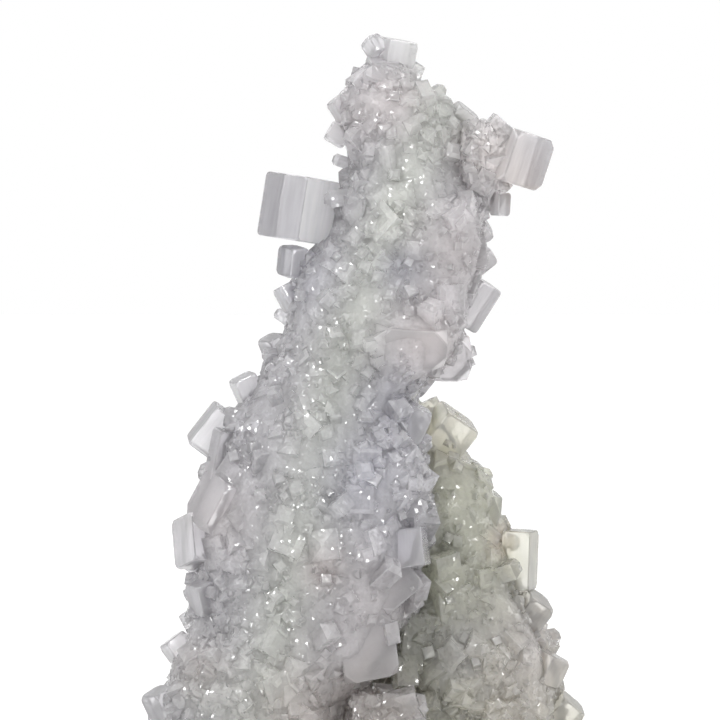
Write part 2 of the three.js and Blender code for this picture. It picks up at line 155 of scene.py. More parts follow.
TALL_BLOCKS = [
    Block(-9.2, 73.4, 7.0, 7.0, 8.3, (0, 9, -38), y=-5.4, cut=0.07, painted_light_face=(0.8, -0.6, 0)),
    Block(18.4, 80.2, 7.0, 6.6, 6.8, (4, 18, 42), y=-6.0, cut=0.16, painted_light_face=(0, 0, 1)),
    Block(15.2, 80.2, 7.2, 6.4, 8.2, (8, 12, 16), y=-6.8, cut=0.3, clear=MILKY),
    Block(3.4, 93.6, 4.0, 4.2, 3.4, (6, 10, 24), y=-3.4, cut=0.14),
    Block(0.5, 94.4, 2.0, 2.4, 2.4, (-14, -32, 40), y=-3.8),
    Block(1.6, 91.0, 3.8, 4.4, 3.6, (18, 4, 12), y=-4.2),
    Block(5.4, 86.8, 4.8, 4.4, 4.6, (38, 8, 30), out=-1.8, clear=MILKY),
    Block(-3.2, 86.4, 2.6, 2.6, 3.0, (12, -34, 20)),
    Block(-4.2, 83.0, 2.4, 2.4, 2.8, (4, -60, 10)),
    Block(11.8, 85.0, 3.4, 3.4, 3.2, (10, 40, 15)),
    Block(-10.0, 66.6, 2.8, 3.2, 3.8, (10, 6, 40), y=-4.6),
    Block(-10.4, 62.0, 2.4, 3.0, 3.4, (0, -28, 20)),
    Block(-12.4, 55.4, 2.6, 3.0, 3.2, (16, -20, 35)),
    Block(-15.8, 49.8, 3.2, 3.6, 4.2, (10, -24, 15)),
    Block(-20.2, 44.6, 4.2, 4.8, 6.0, (4, 38, 12), y=-4.2, cut=0.1, painted_light_face=(0, -1, 0.2)),
    Block(-19.2, 41.8, 3.0, 3.6, 7.2, (6, 12, 24), y=-8.6, clear=SMOOTH),
    Block(-18.8, 35.4, 6.6, 7.0, 7.6, (8, 28, 34), y=-8.6, clear=SMOOTH),
    Block(-21.8, 30.6, 5.2, 6.2, 6.4, (-16, -6, 30), y=-6.4, cut=0.12, painted_light_face=(-0.7, -0.5, 0.5)),
    Block(-20.8, 23.6, 2.8, 3.6, 4.0, (10, -12, 30)),
    Block(-24.8, 16.2, 3.2, 3.6, 3.6, (0, -36, 24)),
    Block(-26.4, 9.6, 3.4, 4.0, 3.8, (8, -24, 38)),
    Block(4.7, 30.0, 4.9, 6.0, 4.9, (-6, -7, -8), y=-10.4, cut=0.08),
    Block(0.2, 17.8, 7.8, 8.0, 9.0, (4, -9, 10), out=-2.6, cut=0.2, clear=SMOOTH),
    Block(3.6, 25.4, 6.8, 6.0, 6.4, (-6, -40, 12), out=-2.0, cut=0.2, clear=SMOOTH),
    Block(14.6, 76.0, 4.4, 4.4, 4.4, (10, 30, 20)),
    Block(16.8, 74.0, 1.9, 2.2, 3.0, (0, 3, 30), y=-5.4),
    Block(14.0, 70.4, 2.6, 3.2, 3.2, (10, 62, 20)),
    Block(14.2, 67.0, 2.6, 3.2, 3.2, (-8, 52, 40)),
    Block(13.4, 61.2, 3.4, 4.0, 6.4, (4, 32, 30), cut=0.12),
    Block(9.8, 54.2, 6.4, 6.0, 6.4, (4, 2, 14), out=-1.4, cut=0.36, clear=SMOOTH),
    Block(5.0, 56.2, 10.0, 6.0, 5.8, (16, 6, 8), out=-2.6, cut=0.36, clear=SMOOTH),
    Block(1.2, 56.6, 5.2, 5.0, 4.0, (22, -24, 20), out=-1.5, clear=MILKY),
    Block(10.8, 68.0, 6.2, 5.0, 7.0, (10, 16, 30), out=-2.5, cut=0.3, clear=MILKY),
    Block(2.0, 43.4, 5.2, 5.0, 5.0, (24, 30, 44), out=-2.2, clear=MILKY),
    Block(5.0, 46.0, 4.4, 4.4, 4.8, (6, 24, 12)),
    Block(-2.4, 35.0, 4.6, 4.6, 5.4, (14, -28, 40), out=-2.3, clear=MILKY),
    Block(-14.4, 41.4, 4.8, 4.8, 5.2, (28, 8, 24), out=-2.2, clear=MILKY),
    Block(-16.4, 12.4, 5.6, 5.6, 5.0, (30, -24, 40), out=-2.4, clear=MILKY),
    Block(-8.2, 8.4, 4.8, 5.4, 4.8, (20, 34, 10), out=-1.8, clear=MILKY),
    Block(1.6, 6.0, 9.6, 7.6, 10.8, (-4, 2, 8), y=-9.2, cut=0.2, clear=MILKY),
    Block(-5.0, 62.0, 4.4, 4.4, 4.2, (22, -16, 8), out=-2.0, clear=MILKY),
    Block(1.6, 80.0, 4.6, 5.0, 4.8, (16, -12, 44), out=-2.3, clear=MILKY),
    Block(9.0, 78.0, 7.0, 6.6, 7.4, (12, -22, 30), out=-0.6, back=True, clear=MILKY),
    Block(-2.6, 66.0, 6.0, 6.4, 6.8, (-20, 26, 12), out=-0.6, back=True, clear=MILKY),
    Block(-9.4, 47.0, 7.6, 7.0, 7.8, (10, 18, 38), out=-0.8, back=True, clear=MILKY),
    Block(-17.6, 27.0, 7.0, 7.4, 8.4, (-14, -24, 20), out=-0.8, back=True, clear=MILKY),
    Block(-21.0, 9.0, 6.0, 6.0, 6.4, (8, 30, 44), out=-0.6, back=True, clear=MILKY),
]
SHORT_BLOCKS = [
    Block(19.8, 27.2, 3.9, 4.2, 7.8, (0, 2, -20), y=2.6, cut=0.16, painted_light_face=(-0.4, -0.9, 0)),
    Block(10.2, 43.8, 6.0, 5.8, 6.4, (8, 38, 20), y=4.6, cut=0.12, clear=SMOOTH),
    Block(10.6, 38.6, 8.0, 6.4, 5.6, (6, 24, 20), y=4.8, cut=0.3, clear=SMOOTH),
    Block(12.4, 33.6, 8.4, 7.0, 8.0, (6, 24, 20), y=4.2, cut=0.3, clear=SMOOTH),
    Block(8.2, 30.0, 8.6, 6.0, 11.0, (4, 8, 14), out=-3.0, cut=0.25, clear=MILKY),
    Block(10.8, 22.8, 8.4, 6.4, 9.0, (0, -6, 30), out=-3.2, cut=0.25, clear=MILKY),
    Block(14.6, 15.8, 6.2, 6.4, 5.6, (26, 32, 10), out=-2.3, clear=MILKY),
    Block(6.6, 16.0, 7.0, 6.4, 10.0, (-2, 6, 12), y=-1.8, cut=0.2, clear=MILKY),
    Block(21.2, 20.6, 4.0, 4.6, 4.2, (10, 38, 22)),
    Block(23.0, 13.0, 3.6, 4.0, 4.0, (0, 24, 40)),
    Block(25.2, 7.0, 3.8, 4.2, 3.8, (8, 42, 12)),
    Block(17.0, 8.0, 6.4, 6.0, 5.6, (18, 12, 30), out=-2.2, clear=MILKY),
    Block(6.6, 8.2, 5.6, 5.6, 5.4, (24, -22, 14), out=-1.8, clear=MILKY),
    Block(14.0, 28.0, 6.4, 6.0, 7.2, (16, -18, 34), out=-0.6, back=True, clear=MILKY),
    Block(20.0, 14.0, 6.8, 6.6, 7.0, (-12, 26, 16), out=-0.6, back=True, clear=MILKY),
]

# Raised slabs of crust on the front: outline across and up, and how far they stand out
TALL_SHELVES = [
    (
        ((9.1, 73.9), (13, 76), (18, 73), (18, 60), (13, 58.4))
        + ((9, 58.6), (5.6, 60), (3.6, 63), (4, 69), (7, 71.6)),
        0.9,
    ),
    (((-0.8, 57), (3.2, 59.6), (9, 58.8), (16, 56), (16, 50), (9, 51), (5, 52), (1, 53.4)), 1.1),
    (((5.8, 48.6), (1.6, 46.2), (-1.6, 43), (-3.4, 38), (-6.4, 33), (-7, 28), (9, 28), (9, 48.6)), 0.7),
    (((-3.4, 92), (-2.4, 79), (3, 80.4), (6.6, 84), (5, 92)), 0.6),
    (((-26, 44), (-16.6, 44), (-13.6, 38), (-15.6, 30), (-17, 24), (-26, 22)), 0.6),
]
SHORT_SHELVES = [
    (((6, 45), (4, 36), (9, 33), (13, 35), (18, 33), (18, 45)), 0.6),
    (((6, 22), (12, 24.6), (19, 22), (24, 12), (24, 6), (12, 8), (7, 12)), 0.8),
]
SHELF_EDGE = 0.7  # width of the slope at a slab's edge
# Places where the ground is smooth: middle across and up, reach
TALL_SMOOTH = [(2.0, 27.0, 8.0), (-1.5, 18.0, 6.0), (7.0, 55.0, 6.0), (-18.0, 36.0, 6.0), (11.0, 68.0, 4.0)]
SHORT_SMOOTH = [(9.0, 32.0, 8.0), (14.0, 36.0, 6.0), (10.0, 44.0, 5.0), (8.0, 22.0, 5.0)]
# Crystals that catch a lamp: middle across and up, width
TALL_GLINTS = [
    (-16.2, 41.8, 1.6),
    (-14.0, 43.1, 1.4),
    (-11.2, 39.2, 1.6),
    (-0.6, 39.2, 2.0),
    (2.5, 34.3, 1.2),
    (5.7, 35.3, 1.1),
    (-5.2, 37.5, 1.0),
    (4.6, 66.5, 1.3),
    (4.8, 62.9, 1.8),
    (9.0, 65.9, 0.8),
    (-4.3, 67.2, 1.2),
    (-5.6, 26.5, 1.6),
    (3.2, 87.6, 1.5),
    (14.9, 80.8, 1.6),
    (-2.0, 77.0, 0.9),
    (0.9, 72.5, 0.8),
    (-20.5, 19.5, 1.0),
    (-13.0, 25.4, 1.0),
    (-22.0, 12.6, 1.1),
    (-6.5, 14.0, 1.0),
]
SHORT_GLINTS = [
    (8.1, 15.8, 1.9),
    (10.4, 22.6, 1.4),
    (13.3, 14.8, 1.3),
    (10.3, 30.4, 1.5),
    (15.6, 17.4, 1.4),
    (21.5, 17.4, 1.0),
    (18.2, 10.8, 1.1),
    (11.3, 40.3, 0.9),
]
GLINT_SUNK = 0.25  # how deep their middles lie under the skin
GLINT_LAMPS = (2, 4, 3)  # the softboxes that they mirror, in turn

# How far inside the solid's surface: the crust's skin, the blocks that druse grows on, the milky core
CRUST_INSET, MILKY_INSET, CORE_INSET = 0.5, 0.3, 1.5
MOST_INSET = 0.75  # none is drawn in by more than this share of the spire's half width or depth
ROW_STEP, CORE_STEP = 0.8, 0.45  # spacing of the grids of crust and core
CRUST_FOOT, CORE_FOOT = -2.0, 0.2  # the crust starts under the ground and is cut off flat
TRIM_SIZE = 200.0  # block that cuts the foot flat

# Blocks
EDGE_BEVEL = 0.14  # width of their worn edges
FLAT_ANGLE = math.radians(2)  # corner faces that differ by less are one face
TONE_SPREAD = 0.13  # how unlike the tones of a crystal's faces are
TONE_STEP, TONE_SHIFT = 2.4, 1.7  # change of tone from face to face and from crystal to crystal
# Painted light on a block's lit face, and painted shade on its other faces
PAINTED_LIGHT_TONE, PAINTED_SHADE_TONE = 1.36, 0.91
PAINTED_LIGHT_WITHIN = 0.85  # a face gets painted light when it looks this much in the block's lit direction

# Druse
BURIED = 0.3  # none grows deeper than this under another surface
BLOCK_GAP, TIP_GAP = 0.1, 0.15  # room that its feet and tips leave to the clear blocks
LOWEST_DRUSE = -0.5  # lowest place of a crystal's foot; what is under the ground is cut off
TRIES_PER_CRYSTAL = 5  # points tried for each square as wide as the spacing
MOSTLY_SMALL = 2.6  # power that makes most crystals of a layer small
LOWEST_SHARE = 0.25  # height of the lowest crystals, as a share of their layer's
PATCH_SIZE = 5.0
PATCHINESS = 1.6  # how unlike the share covered is from patch to patch
LEAST_COVERED = 0.06  # share of the ground between the patches
SMOOTHED = 0.75  # share of the druse that the smooth places lose
SMOOTH_COVERED = 0.14  # share of the druse that grows on the smooth blocks
FRONT_RELIEF, SIDE_RELIEF = 0.6, 1.2  # crystals on the front are lower than those on the sides
TIP_REACH = 0.6  # how far a crystal may spread round its tip, as a share of its width
# How far apart crystals lie in the clouds and ridges: from one to the next, and the druse by chance
BLOCK_GRAIN, SMALL_GRAIN, GLINT_GRAIN = 7.3, 3.1, 4.7
GRAIN_SPREAD = 50.0


@dataclass
class Layer:
    """A layer of druse."""

    spacing: float
    smallest: float
    largest: float
    relief: float  # height as a share of width
    covered: float  # share of the ground that it covers, but for the patches
    tilted: float  # how far the crystals stand off upright
    seed: int


TALL_LAYERS = [
    Layer(spacing=2.4, smallest=2.0, largest=4.4, relief=0.22, covered=0.9, tilted=0.24, seed=31),
    Layer(spacing=0.76, smallest=0.5, largest=1.7, relief=0.6, covered=0.75, tilted=0.42, seed=21),
]
SHORT_LAYERS = [
    Layer(spacing=2.4, smallest=2.0, largest=4.2, relief=0.22, covered=0.9, tilted=0.24, seed=32),
    Layer(spacing=0.76, smallest=0.5, largest=1.7, relief=0.6, covered=0.75, tilted=0.42, seed=22),
]

# The photograph's view: 720 pixels span 93.6 mm at the tall spire, and its lower edge is 7 mm up
VIEW_DISTANCE = 0.390
VIEW_ELEVATION = math.radians(2.0)
VIEW_WIDTH = 0.0936
VIEW_AIM = Vector((-0.0005, -0.0027, 0.0538))
VIEW_BACK = Vector((0, -math.cos(VIEW_ELEVATION), math.sin(VIEW_ELEVATION)))
SENSOR = 36.0

STUDIO_LOW, STUDIO_HIGH = 0.68, 1.32  # brightness at the horizon and overhead
# Direction (degrees to the right of the view and above it), distance, width and brightness
SOFTBOXES = [
    (-42, 38, 0.7, 0.26, 3.0),
    (104, 12, 0.7, 0.35, 2.4),
    (-12, 24, 0.6, 0.06, 26.0),
    (14, 46, 0.6, 0.06, 26.0),
    (38, 18, 0.6, 0.06, 26.0),
    (-64, 12, 0.6, 0.06, 26.0),
    (66, 44, 0.6, 0.06, 26.0),
    (-34, 66, 0.6, 0.06, 26.0),
    (24, 4, 0.6, 0.05, 26.0),
    (-30, 6, 0.6, 0.05, 26.0),
]
LAMP_AIM = Vector((0, 0, 0.05))


def lamp_place(aside, above, distance):
    """Where a lamp stands, from the degrees to the right of the view and above it."""
    aside, above = math.radians(aside), math.radians(above)
    level = math.cos(above)
    towards = Vector((math.sin(aside) * level, -math.cos(aside) * level, math.sin(above)))
    return LAMP_AIM + towards * distance


def share(index, seed):
    """The same unlike share from 0 to 1 for the same two whole numbers."""
    wave = math.sin(index * 12.9898 + seed * 78.233) * 43758.5453
    return wave - math.floor(wave)


def lerp(low, high, t):
    return low + (high - low) * t


def distance_inside(points, outline):
    """How far each flat point lies inside an outline, or outside it where negative."""
    nearest = np.full(len(points), np.inf)
    crossings = np.zeros(len(points), dtype=int)
    for a, b in zip(outline, np.roll(outline, -1, axis=0)):
        edge = b - a
        along = np.clip((points - a) @ edge / (edge @ edge), 0, 1)
        nearest = np.minimum(nearest, np.linalg.norm(points - a - along[:, None] * edge, axis=1))
        spans = (a[1] > points[:, 1]) != (b[1] > points[:, 1])
        level = edge[1] if edge[1] else 1e-9
        crossings += spans & (points[:, 0] < a[0] + (points[:, 1] - a[1]) / level * edge[0])
    return np.where(crossings % 2 == 1, nearest, -nearest)


class Spire:
    """A spire's skin and the crystals on it, worked out as the part's source does."""

    def __init__(self, levels, swellings, knobs, blocks, scatter, bare, shelves, smooth_places, glints):
        self.levels = np.array(levels, dtype=float)
        self.top = self.levels[-1, 0]
        self.blocks = blocks
        self.scatter_facts = scatter
        self.bare = bare
        self.shelves = shelves
        self.smooth_places = smooth_places
        self.glints = glints
        self.bumps = [self.swelling(*facts) for facts in swellings] + self.knobs(**knobs)

    def section(self, z):
        """Middle across, middle in depth, half width and half depth at each height."""
        z = np.clip(z, 0, self.top)
        heights, *columns = self.levels.T
        left, right, y, half_depth = (np.interp(z, heights, column) for column in columns)
        return (left + right) / 2, y, (right - left) / 2, half_depth

    def angle_over(self, x, z, back):
        """The angle round the spire where its skin passes x, in front or at the back."""
        middle, _, half_width, _ = self.section(z)
        angle = math.acos(float(np.clip((x - middle) / half_width, -1, 1)))
        return angle if back else -angle

    def plain_skin(self, angle, z):
        """Points on the skin without its swellings and knobs."""
        x, y, half_width, half_depth = self.section(z)
        return np.stack([x + half_width * np.cos(angle), y + half_depth * np.sin(angle), z], axis=-1)

    def swelling(self, x, z, rise, reach, back):
        return self.plain_skin(self.angle_over(x, z, back), z), rise, reach

    def knobs(self, count, rise, smallest, largest, seed):
        """Small swellings and hollows all over the skin."""
        found = []
        for i in range(count):
            centre = self.plain_skin(i * GOLDEN_ANGLE + seed, self.top * (i + 0.5) / count)
            height = HOLLOW if i % 3 == 0 else lerp(LEAST_KNOB, 1.0, share(i, seed))
            found.append((centre, rise * height, lerp(smallest, largest, share(i, seed + 1))))
        return found

    def skin(self, angle, z, extra=0.0):
        """Points on the finished skin, held out by extra."""
        plain = self.plain_skin(np.asarray(angle, dtype=float), np.asarray(z, dtype=float))
        out = np.zeros(plain.shape[:-1]) + extra
        for centre, rise, reach in self.bumps:
            out = out + rise * np.exp(-((plain - centre) ** 2).sum(axis=-1) / reach**2)
        plain[..., 0] += np.cos(angle) * out
        plain[..., 1] += np.sin(angle) * out
        return plain

    def raised(self, angle, z, extra):
        """The finished skin with its slabs of crust on the front."""
        plain = self.plain_skin(angle, z)
        rise = np.zeros(len(plain))
        for outline, height in self.shelves:
            inside = distance_inside(plain[:, (0, 2)], np.array(outline, dtype=float))
            rise = np.maximum(rise, height * np.clip(0.5 + inside / SHELF_EDGE, 0, 1))
        return self.skin(angle, z, extra + np.where(np.sin(angle) < 0, rise, 0))

    def block_place(self, b):
        """Where a block's middle is: on the skin, held out by its own measure, unless its place is given."""
        middle, _, half_width, _ = self.section(b.z)
        on_skin = self.skin(self.angle_over(b.x, b.z, b.back), min(b.z, self.top), b.out)
        beyond = abs(b.x - middle) > half_width
        x = b.x if beyond or b.y is not None else on_skin[0]
        return np.array([x, on_skin[1] if b.y is None else b.y, b.z])

    def scatter(self):
        """Place, size and rotation of each small crystal."""
        count, smallest, largest, seed = self.scatter_facts
        places = [(self.block_place(b), min(b.width, b.length)) for b in self.blocks]
        for i in range(count):
            z = self.top * (i + 0.5) / count
            angle = i * GOLDEN_ANGLE + seed
            size = lerp(smallest, largest, share(i, seed) ** 2)
            place = self.skin(angle, z, size * SMALL_OUT)
            in_band = self.bare and math.sin(angle) < 0 and abs(math.cos(angle)) < FRONT_BAND
            on_block = any(np.linalg.norm(p - place) < 0.5 * (least + size) for p, least in places)
            if in_band or on_block:
                continue
            tilt = [(share(i, seed + n) - 0.5) * SMALL_TILT for n in (3, 5, 7)]
            outward = Vector((math.cos(angle) + tilt[0], math.sin(angle) + tilt[1], SMALL_RISE + tilt[2]))
            turn = Vector((0, 0, 1)).rotation_difference(outward.normalized()).to_matrix()
            spin = Matrix.Rotation(share(i, seed + 9) * math.pi, 3, "Z")
            yield place, size, np.array(turn @ spin)


TALL = Spire(
    TALL_LEVELS,
    TALL_SWELLINGS,
    dict(count=90, rise=1.5, smallest=1.8, largest=4.2, seed=11),
    TALL_BLOCKS,
    (96, 1.7, 3.4, 1),
    bare=True,
    shelves=TALL_SHELVES,
    smooth_places=TALL_SMOOTH,
    glints=TALL_GLINTS,
)
SHORT = Spire(
    SHORT_LEVELS,
    SHORT_SWELLINGS,
    dict(count=44, rise=1.4, smallest=1.8, largest=3.8, seed=12),
    SHORT_BLOCKS,
    (46, 1.6, 3.2, 2),
    bare=False,
    shelves=SHORT_SHELVES,
    smooth_places=SHORT_SMOOTH,
    glints=SHORT_GLINTS,
)


@dataclass
class Crystal:
    """A closed solid ready to be joined to others."""

    corners: np.ndarray
    own: np.ndarray  # the corners as its clouds and ridges see them
    faces: list
    clear: float  # its kind
    tones: np.ndarray  # how pale each face is: a tone at random, but painted light and shade on blocks with a lit face
    centre: np.ndarray = None
    radius: float = 0.0

    def __post_init__(self):
        self.centre = self.corners.mean(axis=0)
        self.radius = float(np.linalg.norm(self.corners - self.centre, axis=1).max())


def ring_faces(sides, rings):
    """Faces of a solid that is a stack of rings with as many corners each, closed at both ends."""
    faces = [tuple(reversed(range(sides)))]
    for ring in range(rings - 1):
        low, high = ring * sides, (ring + 1) * sides
        for k in range(sides):
            nxt = (k + 1) % sides
            faces.append((low + k, low + nxt, high + nxt, high + k))
    faces.append(tuple(range((rings - 1) * sides, rings * sides)))
    return faces


def uneven_tones(count, seed):
    """A tone a little unlike the next for each face of a crystal."""
    return 1 + TONE_SPREAD * np.sin(np.arange(count) * TONE_STEP + seed * TONE_SHIFT)


NEIGHBOURS = list(product((-1, 0, 1), repeat=3))
SQUARE = np.array([(-1, -1), (1, -1), (1, 1), (-1, 1)], dtype=float)
PRISM_FACES = ring_faces(4, 3)


def prism(place, turn, width, depth_down, shoulder, tip, tip_share, clear, seed):
    """A square prism with a blunt four-sided point. Heights are from place, along the crystal."""
    half = width / 2
    levels = ((-depth_down, 1.0), (shoulder, 1.0), (tip, tip_share))
    own = np.concatenate([np.c_[SQUARE * half * wide, np.full(4, height)] for height, wide in levels])
    tones = uneven_tones(len(PRISM_FACES), seed)
    return Crystal(own @ turn.T + place, own + seed, PRISM_FACES, clear, tones)


def corner_points(size, cut):
    """Three points round each corner of a box, each cut back along one edge."""
    for sign in product((-1, 1), repeat=3):
        for axis in range(3):
            point = np.array(sign) * size / 2
            point[axis] -= sign[axis] * cut
            yield point


def block_crystal(spire, b, index):
    """A square prism with a small pyramid face across each corner and worn edges."""
    inset = 0.0 if b.clear == CLEAR else MILKY_INSET
    size = np.array([b.width, b.depth, b.length]) - 2 * inset
    shape = bmesh.new()
    for point in corner_points(size, b.cut * size.min()):
        shape.verts.new(point)
    bmesh.ops.convex_hull(shape, input=shape.verts)
    bmesh.ops.dissolve_limit(shape, angle_limit=FLAT_ANGLE, verts=shape.verts, edges=shape.edges)
    bmesh.ops.bevel(shape, geom=shape.edges, offset=EDGE_BEVEL, segments=1, affect="EDGES")
    bmesh.ops.recalc_face_normals(shape, faces=shape.faces)
    shape.verts.index_update()
    own = np.array([v.co[:] for v in shape.verts])
    faces = [tuple(v.index for v in f.verts) for f in shape.faces]
    normals = np.array([f.normal[:] for f in shape.faces])
    shape.free()
    place, rotation = block_frame(spire, b)
    tones = uneven_tones(len(faces), index)
    # painted light: the face turned the given way is painted pale, and painted shade darkens the rest
    if b.painted_light_face:
        towards = (normals @ rotation.T) @ np.array(b.painted_light_face) / np.linalg.norm(b.painted_light_face)
        tones = np.where(towards > PAINTED_LIGHT_WITHIN, PAINTED_LIGHT_TONE, PAINTED_SHADE_TONE)
    return Crystal(own @ rotation.T + place, own + index * BLOCK_GRAIN, faces, b.clear, tones)


def small_crystals(spire):
    """The small crystals that the solid has too. Those that face the front stand out less."""
    for i, (place, size, turn) in enumerate(spire.scatter()):
        rise = size * lerp(0.75, 0.35, max(0.0, -turn[1, 2]))
        yield prism(
            place,
            turn,
            width=0.8 * size,
            depth_down=0.75 * size,
            shoulder=0.6 * rise,
            tip=rise,
            tip_share=0.5,
            clear=SMALL,
            seed=i * SMALL_GRAIN,
        )


def block_frame(spire, b):
    """A block's place and rotation."""
    tip, lean, turn = (math.radians(a) for a in b.lean)
    return spire.block_place(b), np.array(Euler((tip, lean, turn), "ZXY").to_matrix())


def inside_blocks(spire, points, margin, kind):
    """Which points lie inside one of the spire's blocks of a kind, each grown by margin."""
    hit = np.zeros(len(points), dtype=bool)
    for b in spire.blocks:
        if b.clear != kind:
            continue
        place, rotation = block_frame(spire, b)
        half = np.array([b.width, b.depth, b.length]) / 2 + margin
        hit |= (np.abs((points - place) @ rotation) < half).all(axis=1)
    return hit


def inside_skin(spire, points, margin):
    """Which points lie deeper than margin under the skin that the druse grows from."""
    x, y, half_width, half_depth = spire.section(points[:, 2])
    middle = np.stack([x, y], axis=1)
    angle = np.arctan2((points[:, 1] - y) / half_depth, (points[:, 0] - x) / half_width)
    edge = spire.raised(angle, points[:, 2], -CRUST_INSET - margin)[:, :2]
    deep = np.linalg.norm(points[:, :2] - middle, axis=1) < np.linalg.norm(edge - middle, axis=1)
    return deep & (points[:, 2] < spire.top - margin)


def spaced(points, spacing):
    """Which points to keep, in their order, so that they are at least spacing apart."""
    cells = {}
    kept = []
    homes = np.floor(points / spacing).astype(int)
    for i, (point, (x, y, z)) in enumerate(zip(points.tolist(), homes.tolist())):
        near = (cells.get((x + dx, y + dy, z + dz)) for dx, dy, dz in NEIGHBOURS)
        if all(other is None or math.dist(other, point) > spacing for other in near):
            cells[x, y, z] = point
            kept.append(i)
    return kept


def triangles(solid):
    """The corners of a solid's faces, each face cut into triangles."""
    fans = [(face[0], face[k], face[k + 1]) for face in solid.faces for k in range(1, len(face) - 1)]
    return solid.corners[np.array(fans)]


def scattered_on(solids, spacing, rng):
    """Points at least spacing apart over some solids, the normal at each, and which solid it is on."""
    cut = [triangles(solid) for solid in solids]
    owner = np.repeat(np.arange(len(solids)), [len(part) for part in cut])
    a, b, c = np.concatenate(cut).transpose(1, 0, 2)
    normal = np.cross(b - a, c - a)
    size = np.linalg.norm(normal, axis=1)
    tries = int(TRIES_PER_CRYSTAL * size.sum() / 2 / spacing**2)
    chosen = np.searchsorted(np.cumsum(size) / size.sum(), rng.random(tries))
    u, v = rng.random(tries), rng.random(tries)
    fold = u + v > 1
    u[fold], v[fold] = 1 - u[fold], 1 - v[fold]
    points = a[chosen] + (b - a)[chosen] * u[:, None] + (c - a)[chosen] * v[:, None]
    kept = spaced(points, spacing)
    chosen = chosen[kept]
    return points[kept], normal[chosen] / size[chosen][:, None], owner[chosen]


def left_out(spire, place, tips, owner, width):
    """Which fine crystals can't stand: those in a clear block, under another surface or out of the box."""
    out = place[:, 2] < LOWEST_DRUSE
    out |= inside_blocks(spire, place, BLOCK_GAP, CLEAR)
    out |= inside_blocks(spire, tips, TIP_GAP, CLEAR)
    for kind in (MILKY, SMOOTH):
        out |= inside_blocks(spire, place, -MILKY_INSET - BURIED, kind)
    out |= (owner > 0) & inside_skin(spire, place, BURIED)
    reach = TIP_REACH * width[:, None]
    return out | ((tips - reach < BOX_LOW) | (tips + reach > BOX_HIGH)).any(axis=1)


def druse(spire, solids, layer):
    """Fine crystals that grow on the skin, the first of the solids, and on the blocks that they cover."""
    rng = np.random.default_rng(layer.seed)
    place, normal, owner = scattered_on(solids, layer.spacing, rng)
    count = len(place)
    width = lerp(layer.smallest, layer.largest, rng.random(count) ** MOSTLY_SMALL)
    tallest = width * layer.relief * lerp(FRONT_RELIEF, SIDE_RELIEF, np.abs(normal[:, 0]) ** 2)
    tall = tallest * rng.uniform(LOWEST_SHARE, 1.0, count)
    tips = place + normal * tall[:, None]
    hidden = left_out(spire, place, tips, owner, width)
    hidden |= rng.random(count) > coverage(spire, place, layer.covered)
    tilt = rng.normal(0, layer.tilted, (count, 3))
    blunt = rng.random(count)
    for i in np.nonzero(~hidden)[0]:
        direction = Vector(normal[i] + tilt[i]).normalized()
        turn = Vector((0, 0, 1)).rotation_difference(direction).to_matrix()
        spin = Matrix.Rotation(rng.random() * math.pi, 3, "Z")
        yield prism(
            place[i],
            np.array(turn @ spin),
            width=width[i],
            depth_down=0.6 * width[i],
            shoulder=tall[i] * lerp(0.35, 0.75, blunt[i]),
            tip=tall[i],
            tip_share=lerp(0.12, 0.7, blunt[i]),
            clear=FINE,
            seed=rng.random() * GRAIN_SPREAD,
        )


def coverage(spire, points, covered):
    """Share of the ground that the druse covers: patchy, and less on the smooth places."""
    patches = np.array([noise.noise(Vector(p) / PATCH_SIZE) for p in points])
    share_here = np.clip(covered + PATCHINESS * patches, LEAST_COVERED, 1)
    for x, z, reach in spire.smooth_places:
        share_here = share_here * (1 - SMOOTHED * spot(points, x, z, reach))
    on_smooth = inside_blocks(spire, points, BLOCK_GAP, SMOOTH)
    return np.where(on_smooth, SMOOTH_COVERED * share_here, share_here)


def glints(spire):
    """Single crystals that turn a face so that it mirrors a lamp towards the viewer."""
    eye = np.array(VIEW_AIM + VIEW_BACK * VIEW_DISTANCE) / MM + MIDDLE
    for i, (x, z, size) in enumerate(spire.glints):
        angle = spire.angle_over(x, z, False)
        place = spire.raised(np.array([angle]), np.array([z]), -GLINT_SUNK)[0]
        aside, above, distance, _, _ = SOFTBOXES[GLINT_LAMPS[i % len(GLINT_LAMPS)]]
        lamp = np.array(lamp_place(aside, above, distance)) / MM + MIDDLE
        half = sum((end - place) / np.linalg.norm(end - place) for end in (eye, lamp))
        turn = Vector((0, 0, 1)).rotation_difference(Vector(half).normalized()).to_matrix()
        spin = Matrix.Rotation(share(i, 5) * math.pi, 3, "Z")
        yield prism(
            place,
            np.array(turn @ spin),
            width=0.85 * size,
            depth_down=0.6 * size,
            shoulder=0.3,
            tip=0.55,
            tip_share=0.9,
            clear=GLINT,
            seed=i * GLINT_GRAIN,
        )


def apart(crystals):
    """Sorts crystals into sets whose members don't touch, so that each set is joined in one step."""
    centres = np.array([c.centre for c in crystals])
    radii = np.array([c.radius for c in crystals])
    order = np.argsort(-radii)
    chosen = np.full(len(crystals), -1)
    for rank, i in enumerate(order):
        done = order[:rank]
        touching = np.linalg.norm(centres[done] - centres[i], axis=1) < radii[done] + radii[i]
        taken = set(chosen[done[touching]])
        chosen[i] = next(n for n in range(len(crystals)) if n not in taken)
    return [[crystals[i] for i in np.nonzero(chosen == n)[0]] for n in range(chosen.max() + 1)]


def skin_solid(spire, inset, step, bottom, top):
    """A closed grid that follows a spire's skin from bottom to top."""
    rows = math.ceil((top - bottom) / step)
    columns = math.ceil(2 * math.pi * spire.levels[:, 4].max() / step)
    angle, z = np.meshgrid(np.arange(columns) * 2 * math.pi / columns, np.linspace(bottom, top, rows + 1))
    _, _, a, b = spire.section(z)
    kept = np.minimum(inset, MOST_INSET * np.minimum(a, b))
    corners = spire.raised(angle.ravel(), z.ravel(), -kept.ravel())
    faces = ring_faces(columns, rows + 1)
    return Crystal(corners, corners.copy(), faces, GROUND, np.ones(len(faces)))


